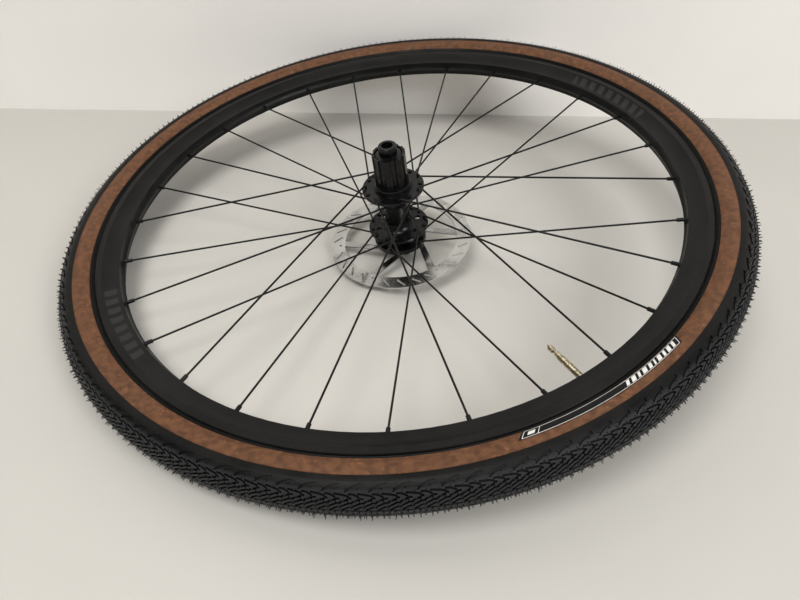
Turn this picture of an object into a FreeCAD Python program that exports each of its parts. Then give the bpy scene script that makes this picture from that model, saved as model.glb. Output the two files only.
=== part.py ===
"""Rear bicycle wheel: clincher tyre, 28-spoke rim, disc-brake hub with a ratchet freehub.

Frame, in millimetres: origin at the wheel's centre, +X forward, +Y along the hub axle towards the brake
disc (the rider's left), +Z up. Radii are measured from the Y axis. Angles turn about +Y, from +X.
Every driving dimension is a cell of the sheet; sketches and features read their sizes from it.
"""
import FreeCAD, Part, Sketcher
import math
import os
import re

Vector = FreeCAD.Vector
Rotation = FreeCAD.Rotation
Placement = FreeCAD.Placement
HUB_AXIS = Vector(0, 1, 0)

doc = FreeCAD.newDocument("bicycle_rear_wheel")

# ---------------------------------------------------------------- driving dimensions, mm and degrees
SIZES = {
    # tyre: 42 mm section on a 622 mm bead seat
    "bead_seat_radius": 311.0, "section_centre_radius": 333.5, "casing_outside": 19.6,
    "casing_inside": 18.4, "tread_centre_radius": 334.95, "tread_curve": 21.05,
    "chafer_thickness": 0.6, "tube_centre_radius": 333.3, "tube_outside": 17.8, "tube_wall": 0.9,
    "bead_core_radius": 1.1,
    # rim: double-walled, hooked
    "rim_tip_radius": 317.0, "rim_inner_radius": 291.7, "rim_half_width": 13.5,
    "rim_nose_bend": 11.0, "rim_side_bend": 26.0, "rim_inside_half_width": 11.1, "rim_bed_wall": 1.7, "spoke_bed_wall": 2.2, "tape_thickness": 0.5,
    # spokes, crossed twice
    "spoke_count": 28, "spoke_radius": 1.0, "spoke_hole_circle": 29.0, "spoke_hole_radius": 1.25,
    "elbow_radius": 3.0, "head_radius": 2.1, "head_thickness": 1.2, "nipple_radius": 1.95,
    "nipple_head_radius": 3.1, "nipple_hole_radius": 2.2, "nipple_length": 12.0,
    # hub shell and its two flanges, as places along the axle
    "flange_radius": 33.0, "flange_thickness": 3.2, "drive_flange_place": -19.7,
    "disc_flange_place": 32.0, "barrel_radius": 13.6, "barrel_bore": 10.8, "ratchet_seat": 17.5,
    "seal_land": 20.4, "drive_hub_radius": 20.8, "drive_neck": 17.0, "drive_neck_length": 6.0,
    "disc_neck": 18.5, "disc_body": 18.0, "barrel_start": 1.0, "barrel_end": 22.0,
    "shell_drive_end": -23.6, "shell_disc_end": 54.6, "disc_face": 52.2, "disc_seat_radius": 29.0,
    "spigot_radius": 17.4, "relief_hole_radius": 3.2, "relief_hole_circle": 22.6,
    # axle for a 12 mm through-axle in 142 mm dropouts
    "half_hub_width": 71.0, "axle_bore": 6.05, "axle_radius": 7.5, "axle_half_length": 64.0,
    "axle_shoulder": 9.0, "cap_radius": 9.5, "cap_flange": 13.3,
    # bearings: 6902 in the hub shell, 6802 in the freehub
    "hub_bearing_radius": 14.0, "hub_bearing_width": 7.0, "freehub_bearing_radius": 12.0,
    "freehub_bearing_width": 5.0, "drive_bearing_place": -14.0, "disc_bearing_place": 46.0,
    "outer_freehub_place": -53.5, "inner_freehub_place": -28.5, "groove_play": 0.04,
    # freehub: nine splines, pawls in a stub that runs inside the ratchet ring
    "freehub_end": -62.0, "freehub_base": -27.5, "spline_root": 15.9, "spline_crest": 17.2,
    "base_radius": 18.2, "stub_radius": 12.7, "stub_start": -25.2, "stub_end": -17.9,
    "stub_bore": 8.9, "mouth_radius": 14.7, "ratchet_teeth": 24, "ratchet_tip": 13.8,
    "ratchet_root": 15.1, "pawl_pivot_circle": 11.0, "pawl_knuckle": 1.35, "pawl_rise": 12.8,
    "pawl_length": 6.4, "pawl_width": 4.6, "pawl_middle": -21.2, "pawl_fold": 10.0,
    # brake disc, six bolts on a 44 mm circle
    "disc_radius": 80.0, "track_inner_radius": 64.0, "disc_thickness": 1.8, "disc_hub_radius": 27.0,
    "bolt_circle": 22.0, "bolt_radius": 2.45, "bolt_head_radius": 4.3, "bolt_head_height": 2.2,
    # Presta valve, tip radius is where its pin ends
    "valve_angle": -115.714, "valve_radius": 3.0, "valve_hole": 3.3, "valve_tip_radius": 250.6,
    "valve_bore": 1.25, "valve_pin_radius": 0.9, "valve_shank": 2.6,
}

sheet = doc.addObject("Spreadsheet::Sheet", "Size")
for row, (alias, value) in enumerate(SIZES.items(), start=1):
    sheet.set(f"A{row}", alias)
    sheet.set(f"B{row}", str(value))
    sheet.setAlias(f"B{row}", alias)
doc.recompute()


def linked(formula):
    """The formula with every sheet alias written as a reference to its cell."""
    return re.sub(r"[a-z]+_[a-z_]+", lambda word: "Size." + word.group(0), str(formula))


def size(formula):
    """The value of a formula such as 'bead_seat_radius + 2'."""
    return float(sheet.evalExpression(linked(formula)))


# ---------------------------------------------------------------- builders shared by the sub-parts
def new_body(label, turned=0.0):
    body = doc.addObject("PartDesign::Body", label)
    body.Label = label
    body.AllowCompound = True
    body.Placement = Placement(Vector(), Rotation(HUB_AXIS, turned))
    return body


def datum(body, role):
    return next(item for item in body.Origin.OriginFeatures if item.Role == role)


def new_sketch(body, plane, offset=None):
    sketch = body.newObject("Sketcher::SketchObject", body.Label + "_sketch")
    sketch.AttachmentSupport = [(datum(body, plane), "")]
    sketch.MapMode = "FlatFace"
    sketch.AttachmentOffset = offset or Placement()
    return sketch


def pin_point(sketch, line, end, x, y):
    """Dimensions one end of a sketch edge from the sketch's origin."""
    for kind, formula in (("DistanceX", x), ("DistanceY", y)):
        dimension = sketch.addConstraint(Sketcher.Constraint(kind, -1, 1, line, end, size(formula)))
        sketch.setExpression(f"Constraints[{dimension}]", linked(formula))


def outline(sketch, corners):
    """Closed outline through corners (x, y) or (x, y, radius). A radius bends the edge that leaves that
    corner: positive bulges to the right of the way the outline runs, negative to its left."""
    places = [Vector(size(corner[0]), size(corner[1]), 0) for corner in corners]
    edges = []
    for index, corner in enumerate(corners):
        start, end = places[index], places[(index + 1) % len(places)]
        if len(corner) == 2:
            edges.append((sketch.addGeometry(Part.LineSegment(start, end)), 1, 2))
            continue
        radius = size(corner[2])
        chord = end - start
        left = Vector(-chord.y, chord.x, 0).normalize()
        apothem = math.sqrt(radius ** 2 - (chord.Length / 2) ** 2)
        side = 1 if radius > 0 else -1
        centre = (start + end) * 0.5 + left * (side * apothem)
        first, last = (start, end) if radius > 0 else (end, start)
        turn = [math.atan2(point.y - centre.y, point.x - centre.x) for point in (first, last)]
        whole = Part.Circle(centre, Vector(0, 0, 1), abs(radius))
        arc = sketch.addGeometry(Part.ArcOfCircle(whole, *turn))
        bend = sketch.addConstraint(Sketcher.Constraint("Radius", arc, abs(radius)))
        sketch.setExpression(f"Constraints[{bend}]", linked(corner[2]).lstrip("-"))
        edges.append((arc, 1, 2) if radius > 0 else (arc, 2, 1))
    for index, (edge, start_end, _) in enumerate(edges):
        previous, _, last_end = edges[index - 1]
        sketch.addConstraint(Sketcher.Constraint("Coincident", previous, last_end, edge, start_end))
        pin_point(sketch, edge, start_end, corners[index][0], corners[index][1])


def circle(sketch, x, y, radius):
    """Circle in a sketch, its centre and radius dimensioned."""
    ring = sketch.addGeometry(Part.Circle(Vector(size(x), size(y), 0), Vector(0, 0, 1), size(radius)))
    pin_point(sketch, ring, 3, x, y)
    spread = sketch.addConstraint(Sketcher.Constraint("Radius", ring, size(radius)))
    sketch.setExpression(f"Constraints[{spread}]", linked(radius))


def feature(body, kind, label, **values):
    made = body.newObject("PartDesign::" + kind, label)
    for name, value in values.items():
        setattr(made, name, value)
    doc.recompute()
    return made


def turned_about(body, sketch, axis="V_Axis"):
    return feature(body, "Revolution", "turning", Profile=sketch, ReferenceAxis=(sketch, [axis]),
                   Angle=360)


def turned_part(label, *outlines, mirrored=False, turned=0.0):
    """Body of revolution about the hub axis from outlines in (radius, place along the axle)."""
    body = new_body(label, turned)
    sketch = new_sketch(body, "XY_Plane")
    for corners in outlines:
        outline(sketch, corners)
    made = turned_about(body, sketch)
    if mirrored:
        body.Tip = feature(body, "Mirrored", "other_side", Originals=[made],
                           MirrorPlane=(datum(body, "XZ_Plane"), [""]))
    return body


def ring_of(body, originals, count, angle=360.0):
    """Repeats features about the hub axis."""
    pattern = feature(body, "PolarPattern", "pattern", Originals=originals,
                      Axis=(datum(body, "Y_Axis"), [""]), Angle=angle, Occurrences=int(count))
    body.Tip = pattern
    return pattern


def rectangle(inside, outside, start, end):
    """Corners of a ring's section, ordered counter-clockwise."""
    return [(inside, start), (outside, start), (outside, end), (inside, end)]


def across(angle=0.0, place="0"):
    """Attachment of a sketch that faces the hub axis, at a place along the axle."""
    return Placement(Vector(0, 0, -size(place)), Rotation(Vector(0, 0, 1), -angle))


def round_hole(body, radius, circle_radius, angle, count):
    """Holes along the hub axis on a circle, right through the body."""
    sketch = new_sketch(body, "XZ_Plane", across(angle))
    circle(sketch, circle_radius, "0", radius)
    hole = feature(body, "Pocket", "hole", Profile=sketch, Type="ThroughAll", Midplane=True)
    return ring_of(body, [hole], count)


# ---------------------------------------------------------------- tyre and tube
def mirrored_outline(half):
    """Both halves of an outline that is symmetric about the wheel's middle plane. The given half runs
    along the disc side; a radius belongs to the edge that leaves its corner."""
    other = []
    for index in range(len(half) - 1, -1, -1):
        corner = half[index]
        mirrored = (corner[0], f"-({corner[1]})")
        bend = half[index - 1][2:] if index else ()
        other.append(mirrored + bend)
    return half + other


def on_section(radius, angle, centre="section_centre_radius"):
    """Point of the tyre's section at an angle from the crown towards the disc side."""
    turn = math.radians(angle)
    along = f"{centre} + ({radius}) * {math.cos(turn):.6f}"
    return along, f"({radius}) * {math.sin(turn):.6f}"


TREAD_EDGE = 81.0
TREAD_SHOULDER = 74.0
CHAFER_TOP = 130.0
CHAFER_FOOT = 141.0
CASING_FOOT = 138.0

# casing: one layer round the section, ending in a bead inside each hook of the rim
casing_half = [
    (*on_section("casing_outside", 0), "casing_outside"),
    (*on_section("casing_outside", CHAFER_TOP),),
    (*on_section("casing_outside", CHAFER_FOOT),),
    ("rim_tip_radius + 0.3", "rim_inside_half_width - 0.1"),
    ("bead_seat_radius + 0.2", "rim_inside_half_width - 0.1"),
    ("bead_seat_radius + 0.2", "rim_inside_half_width - 4.4"),
    ("bead_seat_radius + 2.4", "rim_inside_half_width - 4.4"),
    ("rim_tip_radius - 0.2", "rim_inside_half_width - 1.6"),
    (*on_section("casing_inside", CASING_FOOT), "-casing_inside"),
    (*on_section("casing_inside", 0),),
]
casing = turned_part("tyre_casing", casing_half, mirrored=True)
for side, sign in (("drive", "-1"), ("disc", "1")):
    groove_sketch = new_sketch(casing, "XY_Plane")
    circle(groove_sketch, "bead_seat_radius + 2.0", f"{sign} * (rim_inside_half_width - 2.1)",
           "bead_core_radius")
    feature(casing, "Groove", "bead_channel", Profile=groove_sketch, Angle=360,
            ReferenceAxis=(groove_sketch, ["V_Axis"]))
    core = new_body(f"bead_core_{side}")
    core_sketch = new_sketch(core, "XY_Plane")
    circle(core_sketch, "bead_seat_radius + 2.0", f"{sign} * (rim_inside_half_width - 2.1)",
           "bead_core_radius")
    turned_about(core, core_sketch)

tread_half = [
    (*on_section("tread_curve", 0, "tread_centre_radius"), "tread_curve"),
    (*on_section("tread_curve", TREAD_SHOULDER, "tread_centre_radius"),),
    (*on_section("casing_outside", TREAD_EDGE), "-casing_outside"),
    (*on_section("casing_outside", 0),),
]
turned_part("tyre_tread", tread_half, mirrored=True)

for side, sign in (("drive", -1), ("disc", 1)):
    chafer = [
        on_section("casing_outside", sign * CHAFER_TOP),
        on_section("casing_outside", sign * CHAFER_FOOT),
        on_section("casing_outside + chafer_thickness", sign * (CHAFER_FOOT - 1)),
        on_section("casing_outside + chafer_thickness", sign * (CHAFER_TOP + 1)),
    ]
    turned_part(f"bead_chafer_{side}", chafer)

tube = doc.addObject("Part::Cut", "inner_tube")
for slot, label, radius in (("Base", "tube_skin", "tube_outside"),
                            ("Tool", "tube_air", "tube_outside - tube_wall")):
    torus = doc.addObject("Part::Torus", label)
    torus.setExpression("Radius1", linked("tube_centre_radius"))
    torus.setExpression("Radius2", linked(radius))
    torus.Placement = Placement(Vector(), Rotation(Vector(1, 0, 0), -90))
    setattr(tube, slot, torus)
tube.Label = "inner_tube"
doc.recompute()

# ---------------------------------------------------------------- rim
pitch = 360.0 / size("spoke_count")
valve_angle = size("valve_angle")

rim = new_body("rim", valve_angle)
rim_sketch = new_sketch(rim, "XY_Plane")
rim_skin = [
    ("rim_inner_radius + 2.6", "8.0", "rim_side_bend"),
    ("rim_tip_radius - 6.5", "rim_half_width",),
    ("rim_tip_radius - 0.8", "rim_half_width"),
    ("rim_tip_radius", "rim_half_width - 0.8"),
    ("rim_tip_radius", "rim_inside_half_width + 0.2"),
    ("rim_tip_radius - 1.2", "rim_inside_half_width"),
    ("bead_seat_radius", "rim_inside_half_width"),
    ("bead_seat_radius - 0.4", "6.6"),
    ("bead_seat_radius - 3.2", "4.6"),
]
rim_cavity = [
    ("rim_inner_radius + spoke_bed_wall", "4.0"),
    ("rim_inner_radius + spoke_bed_wall + 2.0", "7.2", "rim_side_bend"),
    ("rim_tip_radius - 8.0", "rim_half_width - 1.6"),
    ("bead_seat_radius - 0.4 - rim_bed_wall", "6.9"),
    ("bead_seat_radius - 3.2 - rim_bed_wall", "4.8"),
]
outline(rim_sketch, mirrored_outline(rim_skin)[:-1] + [
    ("rim_inner_radius + 2.6", "-8.0", "rim_nose_bend"), ("rim_inner_radius", "0", "rim_nose_bend")])
outline(rim_sketch, mirrored_outline(rim_cavity))
turned_about(rim, rim_sketch)


def radial_hole(body, radius, start, length, angle, place="0"):
    """Hole along a radius, cut outwards from a start radius."""
    turn = Rotation(Vector(1, 0, 0), angle)
    sketch = new_sketch(body, "YZ_Plane", Placement(turn.multVec(Vector(0, 0, size(start))), turn))
    circle(sketch, place, "0", radius)
    return feature(body, "Pocket", "radial_hole", Profile=sketch, Length=size(length), Reversed=True)


spoke_bed_hole = radial_hole(rim, "nipple_hole_radius", "rim_inner_radius - 2", "8", pitch / 2)
access_hole = radial_hole(rim, "nipple_head_radius + 1.1", "bead_seat_radius - 8", "10", pitch / 2)
ring_of(rim, [spoke_bed_hole, access_hole], size("spoke_count"))
radial_hole(rim, "valve_hole", "rim_inner_radius - 2", "25", 0.0)

tape = new_body("rim_tape", valve_angle)
tape_sketch = new_sketch(tape, "XY_Plane")
outline(tape_sketch, mirrored_outline([
    ("bead_seat_radius - 3.15", "4.5"),
    ("bead_seat_radius - 0.35", "6.5"),
    ("bead_seat_radius - 0.35 + tape_thickness", "6.3"),
    ("bead_seat_radius - 3.15 + tape_thickness", "4.2"),
]))
turned_about(tape, tape_sketch)
radial_hole(tape, "valve_hole", "bead_seat_radius - 8", "12", 0.0)

# ---------------------------------------------------------------- hub shell
drive_face = "drive_flange_place - flange_thickness / 2"
drive_back = "drive_flange_place + flange_thickness / 2"
disc_back = "disc_flange_place - flange_thickness / 2"
disc_front = "disc_flange_place + flange_thickness / 2"
hub_shell = turned_part("hub_shell", [
    ("ratchet_seat", "shell_drive_end"),
    ("seal_land", "shell_drive_end"),
    ("drive_hub_radius", drive_face),
    ("flange_radius - 0.6", drive_face),
    ("flange_radius", f"{drive_face} + 0.6"),
    ("flange_radius", f"{drive_back} - 0.6"),
    ("flange_radius - 0.6", drive_back),
    ("drive_hub_radius + 0.7", drive_back, "-6"),
    ("drive_neck", "drive_flange_place + drive_neck_length"),
    ("barrel_radius", "barrel_start"),
    ("barrel_radius", "barrel_end", "-10"),
    ("disc_neck", disc_back),
    ("flange_radius - 0.6", disc_back),
    ("flange_radius", f"{disc_back} + 0.6"),
    ("flange_radius", f"{disc_front} - 0.6"),
    ("flange_radius - 0.6", disc_front),
    ("disc_body", disc_front),
    ("disc_body", "disc_face - 8.0"),
    ("disc_seat_radius", "disc_face - 5.2"),
    ("disc_seat_radius", "disc_face"),
    ("spigot_radius", "disc_face"),
    ("spigot_radius", "shell_disc_end - 0.5"),
    ("spigot_radius - 0.5", "shell_disc_end"),
    ("hub_bearing_radius", "shell_disc_end"),
    ("hub_bearing_radius", "disc_bearing_place - hub_bearing_width / 2"),
    ("barrel_bore", "disc_bearing_place - hub_bearing_width / 2"),
    ("barrel_bore", "drive_bearing_place + hub_bearing_width / 2"),
    ("hub_bearing_radius", "drive_bearing_place + hub_bearing_width / 2"),
    ("hub_bearing_radius", "drive_bearing_place - hub_bearing_width / 2"),
    ("ratchet_seat", "drive_bearing_place - hub_bearing_width / 2"),
])


def flange_holes(radius, circle_radius, angle, place, count):
    """Holes through one flange only."""
    sketch = new_sketch(hub_shell, "XZ_Plane", across(angle, f"{place} + 4"))
    circle(sketch, circle_radius, "0", radius)
    before_holes = hub_shell.Shape.Volume
    hole = feature(hub_shell, "Pocket", "flange_hole", Profile=sketch, Length=8, Reversed=True)
    if hub_shell.Shape.Volume >= before_holes:
        hole.Reversed = False
        doc.recompute()
    ring_of(hub_shell, [hole], count)


RELIEF_TURN, BOLT_TURN = 46.0, 19.0
half_count = size("spoke_count / 2")
flange_holes("spoke_hole_radius", "spoke_hole_circle", valve_angle + 1.5 * pitch,
             "drive_flange_place", half_count)
flange_holes("spoke_hole_radius", "spoke_hole_circle", valve_angle + 0.5 * pitch,
             "disc_flange_place", half_count)
flange_holes("relief_hole_radius", "relief_hole_circle", RELIEF_TURN, "disc_flange_place", 6)
flange_holes("bolt_radius + 0.03", "bolt_circle", BOLT_TURN, "disc_face - 2", 6)

# ---------------------------------------------------------------- spokes and nipples
rim_hole_reach = size("rim_inner_radius") + 1.1


def spoke_frame(hole_angle, nipple_angle):
    """Where a spoke leaves its flange: the hole's centre, the way to the rim, and the run's length."""
    hole = Rotation(HUB_AXIS, hole_angle).multVec(Vector(size("spoke_hole_circle"), 0, 0))
    end = Rotation(HUB_AXIS, nipple_angle).multVec(Vector(rim_hole_reach, 0, 0))
    run = end - hole
    return hole, math.degrees(math.atan2(-run.z, run.x)), run.Length


def spoke(body, flange, outward, hole_angle, nipple_angle):
    """One spoke with its elbow and head. outward is the side, along Y, on which it leaves the flange."""
    hole, heading, run = spoke_frame(hole_angle, nipple_angle)
    place = size(flange)
    rise = outward * (size("flange_thickness") / 2 + 0.15)
    bend = size("elbow_radius")
    # the run leaves the elbow along the tangent that meets the rim's middle plane
    centre = Vector(bend, rise, 0)
    gap = Vector(run, -place, 0) - centre
    tangent_length = math.sqrt(gap.Length ** 2 - bend ** 2)
    lean = math.atan2(gap.y, gap.x) - outward * math.atan2(bend, tangent_length)
    leave = centre + Vector(-math.sin(lean), math.cos(lean), 0) * (outward * bend)
    end = leave + Vector(math.cos(lean), math.sin(lean), 0) * (tangent_length + 2.6)
    start = -rise - outward * size("head_thickness / 2")
    knee = centre + (Vector(-1, 0, 0) + (leave - centre).normalize()).normalize() * bend
    path = new_sketch(body, "XY_Plane",
                      Placement(hole + Vector(0, place, 0), Rotation(HUB_AXIS, heading)))
    path.addGeometry(Part.LineSegment(Vector(0, start, 0), Vector(0, rise, 0)))
    path.addGeometry(Part.Arc(Vector(0, rise, 0), knee, leave))
    path.addGeometry(Part.LineSegment(leave, end))
    section = new_sketch(body, "XZ_Plane", Placement(Vector(hole.x, hole.z, -start - place), Rotation()))
    circle(section, "0", "0", "spoke_radius")
    feature(body, "AdditivePipe", "wire", Profile=section, Spine=(path, ["Edge1", "Edge2", "Edge3"]))
    back = -rise - outward * size("head_thickness")
    lift = -place - (back + size("head_thickness") if outward > 0 else back)
    head = body.newObject("PartDesign::AdditiveCylinder", "head")
    head.AttachmentSupport = [(datum(body, "XZ_Plane"), "")]
    head.MapMode = "FlatFace"
    head.AttachmentOffset = Placement(Vector(hole.x, hole.z, lift), Rotation())
    head.setExpression("Radius", linked("head_radius"))
    head.setExpression("Height", linked("head_thickness"))
    doc.recompute()
    return lean, heading


def nipples(label, lean, heading, nipple_angle):
    """Seven nipples on the lines of their spokes, heads inside the rim."""
    body = new_body(label)
    seat = Rotation(HUB_AXIS, nipple_angle).multVec(Vector(rim_hole_reach, 0, 0))
    turn = Rotation(HUB_AXIS, heading) * Rotation(Vector(0, 0, 1), math.degrees(lean))
    sketch = new_sketch(body, "XY_Plane", Placement(seat, turn))
    outline(sketch, [
        ("-nipple_length + 4.4", "spoke_radius + 0.02"),
        ("4.4", "spoke_radius + 0.02"),
        ("4.4", "nipple_head_radius - 1.0"),
        ("3.4", "nipple_head_radius"),
        ("1.7", "nipple_head_radius"),
        ("1.7", "nipple_radius"),
        ("-nipple_length + 4.8", "nipple_radius"),
        ("-nipple_length + 4.4", "nipple_radius - 0.3"),
    ])
    barrel = turned_about(body, sketch, "H_Axis")
    ring_of(body, [barrel], size("spoke_count / 4"))


# crossing twice sets each hole four spoke pitches from its nipple
for side, kind, flange, outward, nipple_pitches, crossing in (
        ("drive", "trailing", "drive_flange_place", -1, 1.5, 4),
        ("drive", "leading", "drive_flange_place", 1, -0.5, -4),
        ("disc", "leading", "disc_flange_place", -1, -1.5, -4),
        ("disc", "trailing", "disc_flange_place", 1, 0.5, 4)):
    at_rim = valve_angle + nipple_pitches * pitch
    group = new_body(f"spokes_{side}_{kind}")
    for index in range(int(size("spoke_count / 4"))):
        turn = at_rim + 4 * pitch * index
        lean, heading = spoke(group, flange, outward, turn + crossing * pitch, turn)
    nipples(f"nipples_{side}_{kind}", lean, heading, turn)


# ---------------------------------------------------------------- ball bearings
def ball_bearing(name, place, bore, outside, width, ball, balls):
    """Deep-groove bearing: inner race, outer race, balls, cage and two shields."""
    middle = f"({bore} + {outside}) / 2"
    inner_land = f"{middle} - {ball} * 0.6"
    outer_land = f"{middle} + {ball} * 0.6"
    low, high = f"{place} - {width} / 2", f"{place} + {width} / 2"
    groove = f"{ball} + groove_play"
    half_opening = f"sqrt(({groove}) * ({groove}) - {ball} * {ball} * 0.36)"
    turned_part(f"{name}_inner_race", [
        (bore, low), (inner_land, low), (inner_land, f"{place} - {half_opening}", f"-({groove})"),
        (inner_land, f"{place} + {half_opening}"), (inner_land, high), (bore, high)])
    turned_part(f"{name}_outer_race", [
        (outer_land, low), (outside, low), (outside, high), (outer_land, high),
        (outer_land, f"{place} + {half_opening}", f"-({groove})"),
        (outer_land, f"{place} - {half_opening}")])
    ring = new_body(f"{name}_balls")
    sphere = ring.newObject("PartDesign::AdditiveSphere", "ball")
    sphere.AttachmentSupport = [(datum(ring, "XY_Plane"), "")]
    sphere.MapMode = "FlatFace"
    sphere.AttachmentOffset = Placement(Vector(size(middle), size(place), 0), Rotation())
    sphere.setExpression("Radius", linked(ball))
    doc.recompute()
    ring_of(ring, [sphere], balls)
    cage = turned_part(f"{name}_cage", rectangle(
        f"{middle} - {ball} * 0.3", f"{middle} + {ball} * 0.3",
        f"{place} - {ball} * 1.3", f"{place} + {ball} * 1.3"))
    window = radial_hole(cage, f"{ball} + groove_play", f"{middle} - {ball}", f"2 * {ball}", 0.0, place)
    ring_of(cage, [window], balls)
    turned_part(f"{name}_shields", *(rectangle(
        f"{inner_land} + 0.25", outer_land, f"{place} + {shift} * ({width} / 2 - 0.3) - 0.15",
        f"{place} + {shift} * ({width} / 2 - 0.3) + 0.15") for shift in (-1, 1)))


for name, place in (("hub_bearing_drive", "drive_bearing_place"),
                    ("hub_bearing_disc", "disc_bearing_place")):
    ball_bearing(name, place, "axle_radius", "hub_bearing_radius", "hub_bearing_width", "1.75", 10)
for name, place in (("freehub_bearing_outer", "outer_freehub_place"),
                    ("freehub_bearing_inner", "inner_freehub_place")):
    ball_bearing(name, place, "axle_radius", "freehub_bearing_radius", "freehub_bearing_width",
                 "1.19", 14)

# ---------------------------------------------------------------- axle, spacers and end caps
turned_part("axle", [
    ("axle_bore", "-axle_half_length"),
    ("axle_radius", "-axle_half_length"),
    ("axle_radius", "drive_bearing_place + hub_bearing_width / 2"),
    ("axle_shoulder", "drive_bearing_place + hub_bearing_width / 2"),
    ("axle_shoulder", "disc_bearing_place - hub_bearing_width / 2"),
    ("axle_radius", "disc_bearing_place - hub_bearing_width / 2"),
    ("axle_radius", "axle_half_length"),
    ("axle_bore", "axle_half_length"),
])
turned_part("end_cap_drive", [
    ("axle_bore", "-half_hub_width"),
    ("cap_radius - 0.6", "-half_hub_width"),
    ("cap_radius", "-half_hub_width + 0.6"),
    ("cap_radius", "freehub_end + 0.4"),
    ("cap_flange", "freehub_end + 0.9"),
    ("cap_flange", "freehub_end + 2.6"),
    ("axle_shoulder", "freehub_end + 3.4"),
    ("axle_shoulder", "outer_freehub_place - freehub_bearing_width / 2"),
    ("axle_radius", "outer_freehub_place - freehub_bearing_width / 2"),
    ("axle_radius", "-axle_half_length"),
    ("axle_bore", "-axle_half_length"),
])
turned_part("end_cap_disc", [
    ("axle_bore", "half_hub_width"),
    ("axle_bore", "axle_half_length"),
    ("axle_radius", "axle_half_length"),
    ("axle_radius", "disc_bearing_place + hub_bearing_width / 2"),
    ("axle_shoulder", "disc_bearing_place + hub_bearing_width / 2"),
    ("axle_shoulder", "disc_bearing_place + hub_bearing_width / 2 + 1.6"),
    ("cap_flange", "disc_bearing_place + hub_bearing_width / 2 + 2.6"),
    ("cap_flange", "shell_disc_end + 1.2"),
    ("cap_radius", "shell_disc_end + 3.4"),
    ("cap_radius", "half_hub_width - 0.6"),
    ("cap_radius - 0.6", "half_hub_width"),
])
turned_part("freehub_axle_spacer", rectangle(
    "axle_radius", "axle_shoulder", "outer_freehub_place + freehub_bearing_width / 2",
    "inner_freehub_place - freehub_bearing_width / 2"))
turned_part("hub_axle_spacer", rectangle(
    "axle_radius", "axle_shoulder - 0.5", "inner_freehub_place + freehub_bearing_width / 2",
    "drive_bearing_place - hub_bearing_width / 2"))

# ---------------------------------------------------------------- freehub
freehub = turned_part("freehub_body", [
    ("mouth_radius", "freehub_end"),
    ("spline_root", "freehub_end"),
    ("spline_root", "freehub_base"),
    ("base_radius", "freehub_base"),
    ("base_radius", "stub_start"),
    ("stub_radius", "stub_start"),
    ("stub_radius", "stub_end"),
    ("stub_bore", "stub_end"),
    ("stub_bore", "inner_freehub_place + freehub_bearing_width / 2"),
    ("freehub_bearing_radius", "inner_freehub_place + freehub_bearing_width / 2"),
    ("freehub_bearing_radius", "outer_freehub_place - freehub_bearing_width / 2"),
    ("mouth_radius", "outer_freehub_place - freehub_bearing_width / 2"),
])


def spline(width, angle):
    """One straight ridge along the freehub, its height set by the crest radius."""
    sketch = new_sketch(freehub, "XZ_Plane", across(angle, "freehub_base"))
    outline(sketch, [("spline_root - 0.5", f"-{width} / 2 - 0.3"), ("spline_crest", f"-{width} / 2"),
                     ("spline_crest", f"{width} / 2"), ("spline_root - 0.5", f"{width} / 2 + 0.3")])
    return feature(freehub, "Pad", "spline", Profile=sketch, Length=size("freehub_base - freehub_end"))


wide_spline = spline("6.6", 0.0)
ring_of(freehub, [wide_spline], 8, 280.0)
spline("4.4", -40.0)

pawl_low = "pawl_middle - pawl_width / 2"
pocket_sketch = new_sketch(freehub, "XZ_Plane", across(0.0, f"{pawl_low} - 0.2"))
outline(pocket_sketch, [("9.5", "-7.8"), ("15.0", "-7.8"), ("15.0", "1.75"), ("9.5", "1.75")])
pawl_pocket = feature(freehub, "Pocket", "pawl_pocket", Profile=pocket_sketch,
                      Length=size("pawl_width + 0.4"))
ring_of(freehub, [pawl_pocket], 3)
spring_sketch = new_sketch(freehub, "XY_Plane")
outline(spring_sketch, rectangle("stub_radius - 1.2", "stub_radius + 1", "pawl_middle - 0.55",
                                 "pawl_middle + 0.55"))
feature(freehub, "Groove", "spring_groove", Profile=spring_sketch, Angle=360,
        ReferenceAxis=(spring_sketch, ["V_Axis"]))

for index, name in enumerate(("first", "second", "third")):
    pawl = new_body(f"pawl_{name}", 120.0 * index)
    pawl_sketch = new_sketch(pawl, "XZ_Plane", across(0.0, pawl_low))
    outline(pawl_sketch, [
        ("pawl_pivot_circle", "pawl_knuckle", "-pawl_knuckle"),
        ("pawl_pivot_circle + pawl_knuckle", "0"),
        ("pawl_rise", "-pawl_length"),
        ("pawl_rise - 0.9", "-pawl_length - 0.8"),
        ("pawl_pivot_circle - pawl_knuckle", "0", "-pawl_knuckle"),
    ])
    feature(pawl, "Pad", "blank", Profile=pawl_sketch, Length=size("pawl_width"), Reversed=True)
    slot_sketch = new_sketch(pawl, "XY_Plane")
    outline(slot_sketch, rectangle("stub_radius - 1.3", "stub_radius + 4", "pawl_middle - 0.6",
                                   "pawl_middle + 0.6"))
    feature(pawl, "Groove", "spring_slot", Profile=slot_sketch, Angle=360,
            ReferenceAxis=(slot_sketch, ["V_Axis"]))
    # drawn in mesh with the ratchet, and left folded clear of its teeth
    pawl.Placement = pawl.Placement * Placement(
        Vector(), Rotation(HUB_AXIS, size("pawl_fold")), Vector(size("pawl_pivot_circle"), 0, 0))

pawl_spring = new_body("pawl_spring", 75.0)
wire_sketch = new_sketch(pawl_spring, "XY_Plane")
circle(wire_sketch, "stub_radius - 0.6", "pawl_middle", "0.4")
feature(pawl_spring, "Revolution", "split_ring", Profile=wire_sketch,
        ReferenceAxis=(wire_sketch, ["V_Axis"]), Angle=345)

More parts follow.
